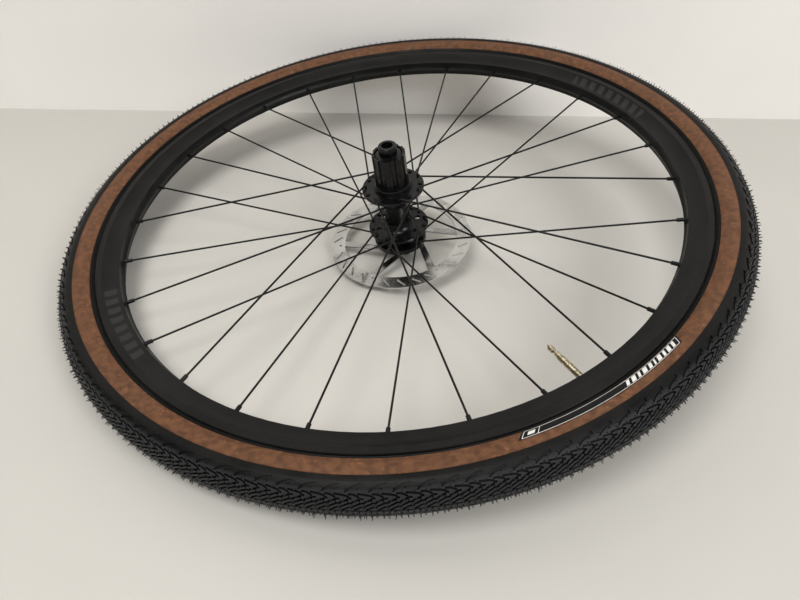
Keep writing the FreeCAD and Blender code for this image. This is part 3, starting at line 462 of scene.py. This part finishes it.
# %% Lay out one module flat
def lay_flat(outlines, lines_along, lines_across, low, high):
    """Triangulates a flat sheet cut by outlines and by a grid. Gives points, and triangles with the
    numbers of the outlines that hold them."""
    points, edges, faces = [], [], []
    for outline in outlines:
        faces.append(list(range(len(points), len(points) + len(outline))))
        points.extend(Vector(corner) for corner in outline)
    for x in lines_across:
        edges.append((len(points), len(points) + 1))
        points += [Vector((x, low[1])), Vector((x, high[1]))]
    for y in lines_along:
        edges.append((len(points), len(points) + 1))
        points += [Vector((low[0], y)), Vector((high[0], y))]
    flat, _, triangles, _, _, held_by = delaunay_2d_cdt(points, edges, faces, 0, 1e-5)
    return np.array([tuple(point) for point in flat]), triangles, held_by


grooves = list(groove_outlines())
edge = LIP * PER_DEGREE
half_rows = np.array([30.0, 51.0, 59.0, 67.0, SHOULDER, LIP])
rows = np.concatenate([-half_rows, [0.0], half_rows]) * PER_DEGREE
columns = np.linspace(0.0, MODULE, 3)
flat, triangles, held_by = lay_flat([outline for _, outline in grooves], rows, columns,
                                    (-NEAR - 1.0, -edge), (MODULE + NEAR + 1.0, edge))
depth_of = [max((grooves[number][0] for number in numbers), default=0.0) for numbers in held_by]
middles = np.array([flat[list(triangle)].mean(axis=0) for triangle in triangles])
inside = ((middles[:, 0] > 0) & (middles[:, 0] < MODULE) & (np.abs(middles[:, 1]) < edge))
print("triangles in the module, flat:", int(inside.sum()))

# %% Give the module its depth
def sink_grooves(flat, triangles, depth_of, inside):
    """Lifts the flat triangles into tops, floors and walls. Points become (x, y, depth)."""
    places, numbers, faces = [], {}, []
    floor_depth = {}
    for triangle, depth in zip(triangles, depth_of):
        if depth:
            for corner in triangle:
                floor_depth[corner] = max(depth, floor_depth.get(corner, 0.0))

    def number(corner, deep):
        key = (corner, deep)
        if key not in numbers:
            numbers[key] = len(places)
            places.append((*flat[corner], floor_depth[corner] if deep else 0.0))
        return numbers[key]

    sides = {}
    for index, (triangle, depth) in enumerate(zip(triangles, depth_of)):
        if inside[index]:
            faces.append([number(corner, depth > 0) for corner in triangle])
        for corner, following in zip(triangle, (*triangle[1:], triangle[0])):
            sides.setdefault(frozenset((corner, following)), []).append((index, corner, following))
    for pair in sides.values():
        if len(pair) != 2 or bool(depth_of[pair[0][0]]) == bool(depth_of[pair[1][0]]):
            continue
        top = pair[0] if not depth_of[pair[0][0]] else pair[1]
        middle = (flat[top[1]] + flat[top[2]]) / 2
        if -1e-4 <= middle[0] < MODULE - 1e-4 and abs(middle[1]) < edge:
            start, end = top[1], top[2]
            faces.append([number(end, False), number(start, False), number(start, True), number(end, True)])
    return np.array(places), faces


module_points, module_faces = sink_grooves(flat, triangles, depth_of, inside)
print("faces in the module with walls:", len(module_faces))

# %% Bend the module onto the tyre and repeat it
def tread_surface(x, y, depth):
    angle = np.radians(y / PER_DEGREE)
    held = np.clip(angle, -math.radians(SHOULDER), math.radians(SHOULDER))
    radius = TREAD_CENTRE + (TREAD_CURVE - depth) * np.cos(held)
    place = (TREAD_CURVE - depth) * np.sin(held)
    # past the shoulder the profile runs straight down to the lip, on the casing
    beyond = (np.abs(y / PER_DEGREE) - SHOULDER).clip(0) / (LIP - SHOULDER)
    lip, shoulder = math.radians(LIP), math.radians(SHOULDER)
    drop = SECTION_CENTRE + CASING * math.cos(lip) - TREAD_CENTRE - TREAD_CURVE * math.cos(shoulder)
    shift = CASING * math.sin(lip) - TREAD_CURVE * math.sin(shoulder)
    return on_wheel(np.degrees(x / CROWN), radius + beyond * drop, place + np.sign(y) * beyond * shift)


def repeat_module(points, faces):
    """All modules' points on the tyre, and their faces."""
    every = np.concatenate([points + (turn * MODULE, 0, 0) for turn in range(MODULES)])
    count = len(points)
    return every, [[corner + turn * count for corner in face] for turn in range(MODULES) for face in faces]


every, tread_faces = repeat_module(module_points, module_faces)
tread_points = tread_surface(every[:, 0], every[:, 1], every[:, 2])

# underside, bonded to the casing: rows from lip to lip over the module's own edge points
edge_x = np.unique(np.round(module_points[np.abs(module_points[:, 1] - edge) < 1e-3][:, 0], 4))[:-1]
under_x = np.concatenate([edge_x + turn * MODULE for turn in range(MODULES)])
under_rows = np.radians(np.linspace(LIP, -LIP, 11))
under_points = np.concatenate([on_wheel(np.degrees(under_x / CROWN), SECTION_CENTRE + CASING * math.cos(row),
                                        CASING * math.sin(row)) for row in under_rows])
around_count, base = len(under_x), len(tread_points)
under_faces = [[base + row * around_count + step, base + row * around_count + (step + 1) % around_count,
                base + (row + 1) * around_count + (step + 1) % around_count,
                base + (row + 1) * around_count + step]
               for row in range(len(under_rows) - 1) for step in range(around_count)]
tread = make_piece("tread_band", np.vstack([tread_points, under_points]), tread_faces + under_faces,
                   TREAD_RUBBER, replaces=("tyre_tread",), slot="black_rubber", crease=40.0)

# %% [markdown]
# ## Vent hairs
# Air leaves a tyre mould through pinholes, and rubber follows it, so a new tyre is covered in hairs
# 2 to 3 mm long. Each is a thin five-sided cone, a little bent, on a lug in each row of the tread. The
# random lengths and leans come from a seeded generator, so every run gives the same tyre.

# %% Vent hairs
HAIR_ROWS = [(3.5, 3.2, 2.0), (14.5, 2.2, 6.9), (24.0, 3.0, 6.9), (35.0, 2.6, 1.6), (50.0, 3.0, 1.0),
             (57.0, 2.4, 3.4)]
HAIR_SIDES = 5
HAIR_ROOT, ROOT_RADIUS = -0.3, 0.6              # the foot is sunk into the lug, mm
HAIR_RINGS = ((0.35, 0.42), (0.8, 0.3))         # share of the length, radius in mm
LEAN_SPREAD, SHORTEST, LONGEST = 0.35, 0.55, 1.15
random = np.random.default_rng(7)


def hair(foot, way, length, lean):
    """A bent cone: three rings of points and a tip."""
    side = way.cross(Vector((0, 1, 0.2))).normalized()
    other = way.cross(side)
    rings = []
    levels = [(HAIR_ROOT, ROOT_RADIUS), *((share * length, radius) for share, radius in HAIR_RINGS)]
    for level, thick in levels:
        middle = foot + (way * level + lean * (max(level, 0.0) / length) ** 2) * MM
        rings += [middle + (side * math.cos(turn) + other * math.sin(turn)) * thick * MM
                  for turn in np.arange(HAIR_SIDES) * 2 * math.pi / HAIR_SIDES]
    tip = foot + (way * length + lean) * MM
    return rings + [tip]


hair_points, hair_faces = [], []
for side in (1, -1):
    for section_angle, length, offset in HAIR_ROWS:
        for step in range(2 * MODULES):
            x = offset + step * HALF_MODULE + (HALF_MODULE / 2 if side < 0 else 0.0)
            y = side * section_angle * PER_DEGREE
            spot = tread_surface(np.array([x]), np.array([y]), np.array([0.0]))[0]
            above = tread_surface(np.array([x]), np.array([y]), np.array([-1.0]))[0]
            way = (Vector(above) - Vector(spot)).normalized()
            lean = Vector(random.normal(0.0, LEAN_SPREAD, 3))
            first = len(hair_points)
            hair_points += hair(Vector(spot), way, length * random.uniform(SHORTEST, LONGEST), lean)
            for ring in range(2):
                for corner in range(HAIR_SIDES):
                    a = first + ring * HAIR_SIDES + corner
                    b = first + ring * HAIR_SIDES + (corner + 1) % HAIR_SIDES
                    hair_faces.append([a, b, b + HAIR_SIDES, a + HAIR_SIDES])
            last = first + 2 * HAIR_SIDES
            hair_faces += [[last + corner, last + (corner + 1) % HAIR_SIDES, first + 3 * HAIR_SIDES]
                           for corner in range(HAIR_SIDES)]
            hair_faces.append([first + corner for corner in reversed(range(HAIR_SIDES))])
make_piece("vent_hairs", hair_points, hair_faces, TREAD_RUBBER, slot="black_rubber", crease=80.0)

# %% [markdown]
# ## Casing and bead strips
# The casing is a shell of cord and rubber that ends in a bead inside each hook of the rim, and a black
# strip guards it where it leaves the rim. Both are turned shapes, so a lathe helper sweeps one closed
# section round the axle. The section carries the thin raised lines that the mould's rings leave where
# the tan meets the black.

# %% A lathe
def lathe(section, steps):
    """Points and faces of a closed section of (radius, place) swept round the axle."""
    section = np.array(section)
    angles = np.arange(steps) * 360.0 / steps
    points = np.concatenate([on_wheel(angle, section[:, 0], section[:, 1]) for angle in angles])
    count = len(section)
    faces = [[turn * count + corner, turn * count + (corner + 1) % count,
              (turn + 1) % steps * count + (corner + 1) % count, (turn + 1) % steps * count + corner]
             for turn in range(steps) for corner in range(count)]
    return points, faces


def on_section(height, angle):
    """(radius, place) at a height above the casing and a section angle."""
    turn = math.radians(angle)
    return SECTION_CENTRE + (CASING + height) * math.cos(turn), (CASING + height) * math.sin(turn)


# %% Casing
ROUND_STEPS = 480
outer_half = [(0.0, angle) for angle in np.arange(0.0, 80.0, 8.0)]
outer_half += [(0.0, 80.5), (0.0, 81.6), (0.28, 82.0), (0.28, 82.6), (0.0, 83.1)]
outer_half += [(0.0, angle) for angle in np.arange(84.0, 127.5, 2.5)]
outer_half += [(0.0, 127.6), (0.22, 128.0), (0.22, 128.5), (0.0, 129.0), (0.0, 130.0), (0.0, 141.0)]
outer_half = [on_section(*corner) for corner in outer_half]
bead_half = [(317.3, 11.0), (311.2, 11.0), (311.2, 6.7), (313.4, 6.7), (316.8, 9.5)]
inner_half = [on_section(-1.2, angle) for angle in np.arange(138.0, 0.0, -9.0)]
half = outer_half + bead_half + inner_half
closed = half + [(radius, -place) for radius, place in reversed(half[1:])]
make_piece("casing_with_tan_sidewalls", *lathe(closed, ROUND_STEPS), TAN_CASING, replaces=("tyre_casing",),
           slot="tan_sidewall", crease=30.0)

# %% Bead strips
strip = [(-0.05, 130.0), (0.35, 130.3), (0.55, 131.0), (0.5, 132.6), (0.85, 133.2), (0.85, 133.8),
         (0.5, 134.4), (0.5, 136.2), (0.75, 136.6), (0.75, 137.1), (0.5, 137.6), (0.5, 139.6), (-0.1, 140.6)]
for side, sign in (("drive", 1), ("disc", -1)):
    section = [(radius, sign * place) for radius, place in (on_section(*corner) for corner in strip)]
    make_piece(f"bead_strip_{side}", *lathe(section, ROUND_STEPS), STRIP_RUBBER,
               replaces=(f"bead_chafer_{side}",), slot="black_rubber", crease=30.0)

# %% [markdown]
# ## Sidewall label
# A black label with a thin white line and a few slanted bars is moulded onto the tan band. A decal on a
# curved wall is drawn flat, in degrees around and degrees of section, then cut into small triangles and
# laid on the casing with a real thickness. The bars stand where a maker would print a name.

# %% Lay flat shapes on the casing
def lay_on_casing(name, outlines, lift, thickness, material):
    """Thin closed pieces from outlines in (degrees around, section angle)."""
    turned = []
    for outline in outlines:
        outline = np.array(outline, float)
        area = np.cross(outline, np.roll(outline, -1, axis=0)).sum()
        turned.append(outline if area > 0 else outline[::-1])
    corners = np.vstack(turned)
    low, high = corners.min(axis=0), corners.max(axis=0)
    flat, triangles, held_by = lay_flat(turned, np.arange(low[1] + 3.0, high[1], 3.0),
                                        np.arange(low[0] + 1.0, high[0], 1.0), low - 0.5, high + 0.5)
    kept = [list(triangle) for triangle, numbers in zip(triangles, held_by) if numbers]
    faces, count, sides = [], len(flat), {}
    for triangle in kept:
        faces += [triangle, [corner + count for corner in reversed(triangle)]]
        for corner, following in zip(triangle, (*triangle[1:], triangle[0])):
            sides.setdefault(frozenset((corner, following)), []).append((corner, following))
    faces += [[start + count, end + count, end, start]
              for pair in sides.values() if len(pair) == 1 for start, end in pair]
    layers = []
    for height in (lift + thickness, lift):
        turn = np.radians(flat[:, 1])
        layers.append(on_wheel(flat[:, 0], SECTION_CENTRE + (CASING + height) * np.cos(turn),
                               (CASING + height) * np.sin(turn)))
    used = sorted({corner for face in faces for corner in face})
    renumber = {corner: index for index, corner in enumerate(used)}
    points = np.vstack(layers)[used]
    return make_piece(name, points, [[renumber[corner] for corner in face] for face in faces], material,
                      slot="black_rubber", crease=30.0)


LABEL_START, LABEL_END, LABEL_LOW, LABEL_HIGH = 280.9, 308.7, 102.0, 128.0
SLANT = 1.1
LINE_AROUND, LINE_ACROSS = 0.10, 1.1
LABEL_SUNK, LABEL_THICKNESS, INK_LIFT, INK_THICKNESS = 0.05, 0.2, 0.14, 0.07


def slanted(start, end, low, high):
    """A parallelogram whose ends lean by SLANT degrees over the label's height."""
    lean = SLANT / (LABEL_HIGH - LABEL_LOW)
    return [(start + lean * (low - LABEL_LOW), low), (end + lean * (low - LABEL_LOW), low),
            (end + lean * (high - LABEL_LOW), high), (start + lean * (high - LABEL_LOW), high)]


lay_on_casing("sidewall_label", [slanted(LABEL_START, LABEL_END, LABEL_LOW, LABEL_HIGH)], -LABEL_SUNK,
              LABEL_THICKNESS, LABEL_FILM)

# %% White lines and bars
BAR_START, BAR_GAP, BAR_INSET = 297.4, 0.46, 3.0
BAR_WIDTHS = (0.55, 0.75, 0.45, 0.8, 0.6, 0.35, 0.75, 0.5, 0.7, 0.55)
low, high = LABEL_LOW + 2.0, LABEL_HIGH - 2.0
start, end = LABEL_START + 0.35, LABEL_END - 0.35
print_shapes = [slanted(start, end, low, low + LINE_ACROSS), slanted(start, end, high - LINE_ACROSS, high),
                slanted(start, start + LINE_AROUND, low, high), slanted(end - LINE_AROUND, end, low, high),
                slanted(start + 2.2, start + 2.2 + LINE_AROUND, low, high),
                slanted(start + 0.7, start + 1.7, low + 6.0, high - 6.0)]
bar = BAR_START
for width in BAR_WIDTHS:
    print_shapes.append(slanted(bar, bar + width, low + BAR_INSET, high - BAR_INSET))
    bar += width + BAR_GAP
lay_on_casing("sidewall_label_print", print_shapes, INK_LIFT, INK_THICKNESS, WHITE_INK)

# %% [markdown]
# ## Valve thread
# The stem is a brass tube with a fine thread outside. A stack of rings would look nearly the same, but a
# real thread climbs, so the radius follows the angle and the distance together: a single helix in one
# grid of points, closed by the bore.

# %% Threaded stem
VALVE_ANGLE = 295.714
STEM_TOP, STEM_FOOT, SHANK_TOP = 262.0, 315.25, 290.2
THREAD_PITCH, THREAD_DEPTH, STEM_RADIUS, SHANK_RADIUS, BORE = 0.8, 0.28, 3.0, 2.6, 1.25
TIP_LENGTH, TIP_INSET = 4.6, 0.45              # plain tip above the thread
AROUND_STEM, CLIMB = 28, 0.16
TURNS = np.arange(AROUND_STEM) * 2 * math.pi / AROUND_STEM


def stem_radius(along, turn):
    if along > SHANK_TOP:
        return SHANK_RADIUS
    if along < STEM_TOP + TIP_LENGTH:
        return STEM_RADIUS - TIP_INSET
    phase = (along / THREAD_PITCH - turn / (2 * math.pi)) % 1.0
    return STEM_RADIUS - THREAD_DEPTH * (1 - abs(2 * phase - 1))


outward = Vector(on_wheel(VALVE_ANGLE, 1000.0, 0.0))
beside_y = Vector((0, 1, 0))
beside_x = outward.cross(beside_y)
STEP_LENGTH = 0.05                              # a shoulder between two radii
thread_start = STEM_TOP + TIP_LENGTH
stations = [STEM_TOP, thread_start - STEP_LENGTH, *np.arange(thread_start + STEP_LENGTH, SHANK_TOP, CLIMB),
            SHANK_TOP + STEP_LENGTH, STEM_FOOT]
rows_of_points = [[(along, stem_radius(along, turn), turn) for turn in TURNS] for along in stations]
rows_of_points += [[(along, BORE, turn) for turn in TURNS] for along in (STEM_FOOT, STEM_TOP)]
stem_points = [(outward * along + (beside_x * math.cos(turn) + beside_y * math.sin(turn)) * wide) * MM
               for row in rows_of_points for along, wide, turn in row]
count = len(rows_of_points)
stem_faces = [[row * AROUND_STEM + step, row * AROUND_STEM + (step + 1) % AROUND_STEM,
               (row + 1) % count * AROUND_STEM + (step + 1) % AROUND_STEM,
               (row + 1) % count * AROUND_STEM + step]
              for row in range(count) for step in range(AROUND_STEM)]
make_piece("valve_stem_threaded", stem_points, stem_faces, PLATED_BRASS, replaces=("valve_stem",),
           slot="valve_brass", crease=50.0)

# %% [markdown]
# ## Finishes for the CAD parts
# The hard parts keep their CAD shape, which is exact, and get their finish here. Each name's beginning
# says what it is made of.

# %% Give each CAD part its finish
CAD_FINISHES = {
    "tyre_": TAN_CASING, "bead_chafer": STRIP_RUBBER, "bead_core": BEARING_STEEL, "inner_tube": TUBE_RUBBER,
    "rim_tape": RIM_TAPE, "rim": RIM_PAINT, "hub_shell": BLACK_ANODISE, "spokes_": BLACK_SPOKE,
    "nipples_": BLACK_SPOKE, "axle": BRIGHT_ALLOY, "end_cap": BLACK_ANODISE, "freehub_body": BLACK_ANODISE,
    "freehub_seal": BEARING_SEAL, "brake_disc_bolts": BLACK_SPOKE, "brake_disc": DISC_STEEL,
    "valve_base": TUBE_RUBBER, "valve_": PLATED_BRASS, "ratchet_ring": BEARING_STEEL,
    "pawl_": BEARING_STEEL, "freehub_axle": BRIGHT_ALLOY, "hub_axle": BRIGHT_ALLOY,
    "freehub_bearing_sleeve": BRIGHT_ALLOY,
}
for name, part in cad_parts.items():
    starts = sorted((start for start in CAD_FINISHES if name.startswith(start)), key=len)
    material = CAD_FINISHES[starts[-1]] if starts else BEARING_STEEL
    if name.endswith("_shields"):
        material = BEARING_SEAL
    for slot in part.material_slots:
        slot.material = material
print("CAD parts finished:", len(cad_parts))

# %% [markdown]
# ## Stage, light and camera
# The wheel leans on a pale board behind it and stands on a pale floor. The board shows only its front,
# so that the wheel can also be looked at from behind. The light is two large soft lamps, one above and
# one at a window, in an even warm-white room.

# %% Stage
def stage_material(name, colour):
    made = bpy.data.materials.new(name)
    made.use_nodes = True
    tree = made.node_tree
    shader = tree.nodes["Principled BSDF"]
    shader.inputs["Roughness"].default_value = 0.7
    grain = use_group(tree, GRAIN, Mottle_size=300.0, Grain_size=1.0)["Mottle"]
    paler = tuple(min(1.0, value * 1.04) for value in colour)
    tree.links.new(mix_colours(tree, grain, colour, paler), shader.inputs["Base Color"])
    clear = tree.nodes.new("ShaderNodeBsdfTransparent")
    one_sided = tree.nodes.new("ShaderNodeMixShader")
    tree.links.new(tree.nodes.new("ShaderNodeNewGeometry").outputs["Backfacing"], one_sided.inputs[0])
    tree.links.new(shader.outputs[0], one_sided.inputs[1])
    tree.links.new(clear.outputs[0], one_sided.inputs[2])
    tree.links.new(one_sided.outputs[0], tree.nodes["Material Output"].inputs["Surface"])
    return made


FLOOR_DROP, FLOOR_TILT = 0.3575, math.radians(5.95)
BOARD_PLACE, BOARD_LEAN_X, BOARD_LEAN_Z = 0.0732, -0.133, -0.0764
WIDE, DEEP = 2.6, 2.6


def floor_z(x):
    """Height of the floor, which is level along the axle and tilts a little along the wheel."""
    return -(FLOOR_DROP + x * math.sin(FLOOR_TILT)) / math.cos(FLOOR_TILT)


def board_y(x, z):
    return BOARD_PLACE + BOARD_LEAN_X * x + BOARD_LEAN_Z * z


corner_line = [(x, board_y(x, floor_z(x)), floor_z(x)) for x in (-WIDE, WIDE)]


def stage_plane(name, corners, material):
    mesh = bpy.data.meshes.new(name)
    mesh.from_pydata(corners, [], [list(range(len(corners)))])
    mesh.materials.append(material)
    plane = bpy.data.objects.new(name, mesh)
    scene.collection.objects.link(plane)
    plane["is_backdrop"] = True


stage_plane("floor", [(-WIDE, -DEEP, floor_z(-WIDE)), (WIDE, -DEEP, floor_z(WIDE)), *reversed(corner_line)],
            stage_material("pale floor", (0.90, 0.875, 0.835)))
stage_plane("board", [*corner_line, *((x, board_y(x, DEEP), DEEP) for x in (WIDE, -WIDE))],
            stage_material("pale board", (0.50, 0.485, 0.45)))

# %% Light
def area_light(name, place, target, size, power, colour=(1.0, 0.985, 0.96)):
    lamp = bpy.data.lights.new(name, "AREA")
    lamp.shape, lamp.size, lamp.energy, lamp.color = "DISK", size, power, colour
    holder = bpy.data.objects.new(name, lamp)
    holder.location = place
    holder.rotation_euler = (Vector(target) - Vector(place)).to_track_quat("-Z", "Y").to_euler()
    scene.collection.objects.link(holder)


area_light("ceiling lamp", (0.5, -2.9, 0.9), (0, 0, 0), 1.6, 62.0)
area_light("window", (-1.9, -1.9, 1.9), (0, 0, -0.3), 1.4, 46.0, (0.97, 0.98, 1.0))
world = bpy.data.worlds.new("soft room")
world.use_nodes = True
world.node_tree.nodes["Background"].inputs["Color"].default_value = (0.96, 0.95, 0.93, 1.0)
world.node_tree.nodes["Background"].inputs["Strength"].default_value = 0.24
scene.world = world
scene.view_settings.view_transform = "Standard"

# %% Camera
lens = bpy.data.cameras.new("camera")
lens.lens, lens.sensor_width = 29.5, 36.0
camera = bpy.data.objects.new("camera", lens)
camera.location = (0.0, -0.4356, 0.5704)
camera.rotation_euler = Euler([math.radians(angle) for angle in (-45.643, -5.459, 173.494)])
scene.collection.objects.link(camera)
scene.camera = camera
print("camera at", tuple(camera.location))

# %% Sizes of the wheel before and after the added pieces
low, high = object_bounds()
{"cad": [list(cad_low), list(cad_high)], "visual": [list(low), list(high)]}
print("grew by, mm:", [round(1000 * value, 2) for value in (*(cad_low - low), *(high - cad_high))])
